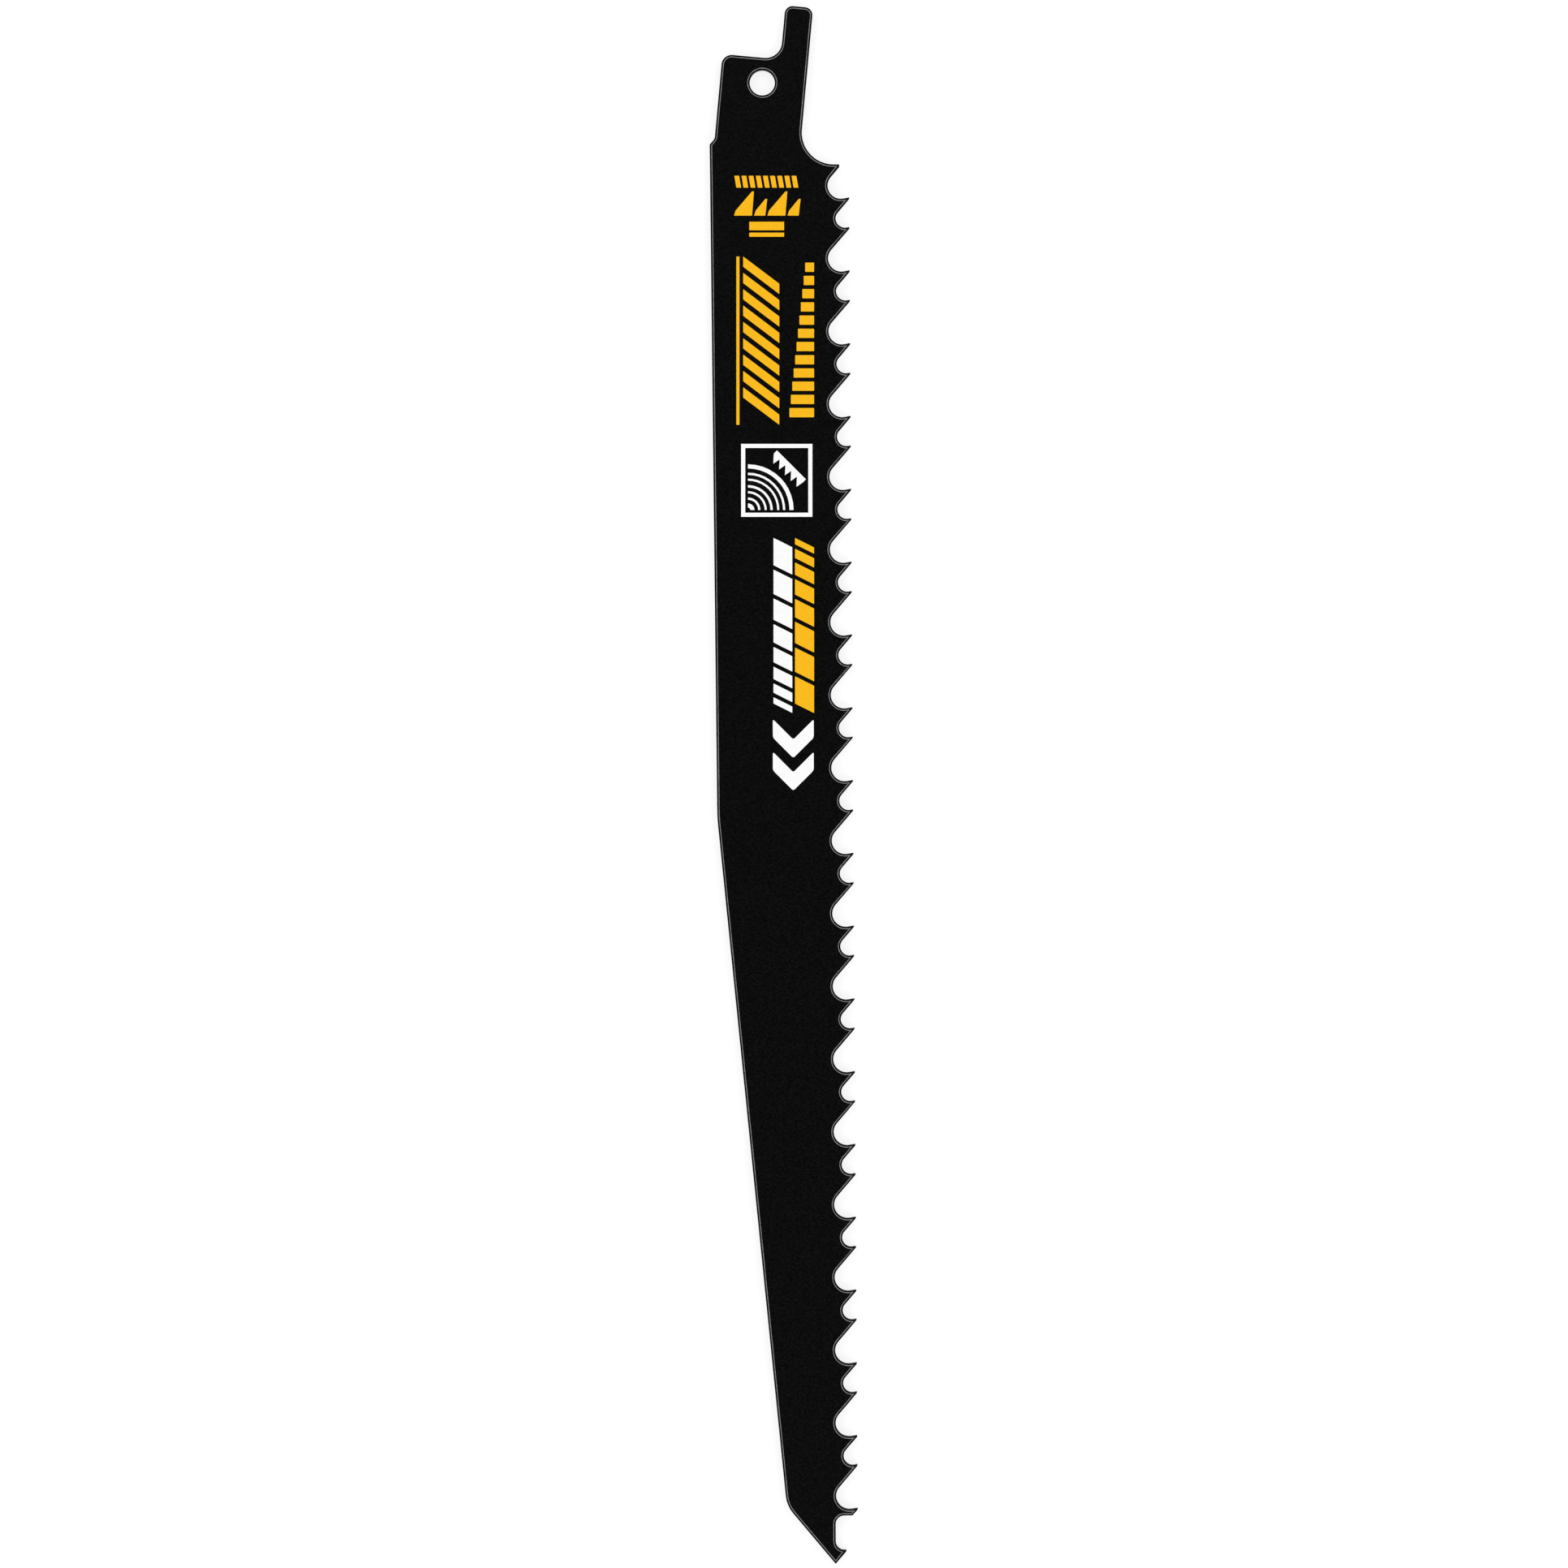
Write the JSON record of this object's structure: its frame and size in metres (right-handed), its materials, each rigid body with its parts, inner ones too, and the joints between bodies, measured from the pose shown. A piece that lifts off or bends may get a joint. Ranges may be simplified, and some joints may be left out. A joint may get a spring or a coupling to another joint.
{
  "type": "reciprocating saw blade",
  "caption": "Tapered bi-metal blade for a reciprocating saw: clamp tang with a hole, coarse hooked teeth in alternating sizes, side set, and a slanted plunge tip.",
  "frame": {"origin": "centre of the tang hole at half the steel's thickness", "axes": "+X along the tooth line from the tang to the point, +Y across the blade towards the teeth, +Z out of the printed face"},
  "size_m": [0.2286, 0.0204, 0.0018],
  "materials": {
    "coated_steel": "satin black coating over bi-metal steel strip"
  },
  "bodies": {
    "root": {"blade": "coated_steel"}
  },
  "joints": []
}
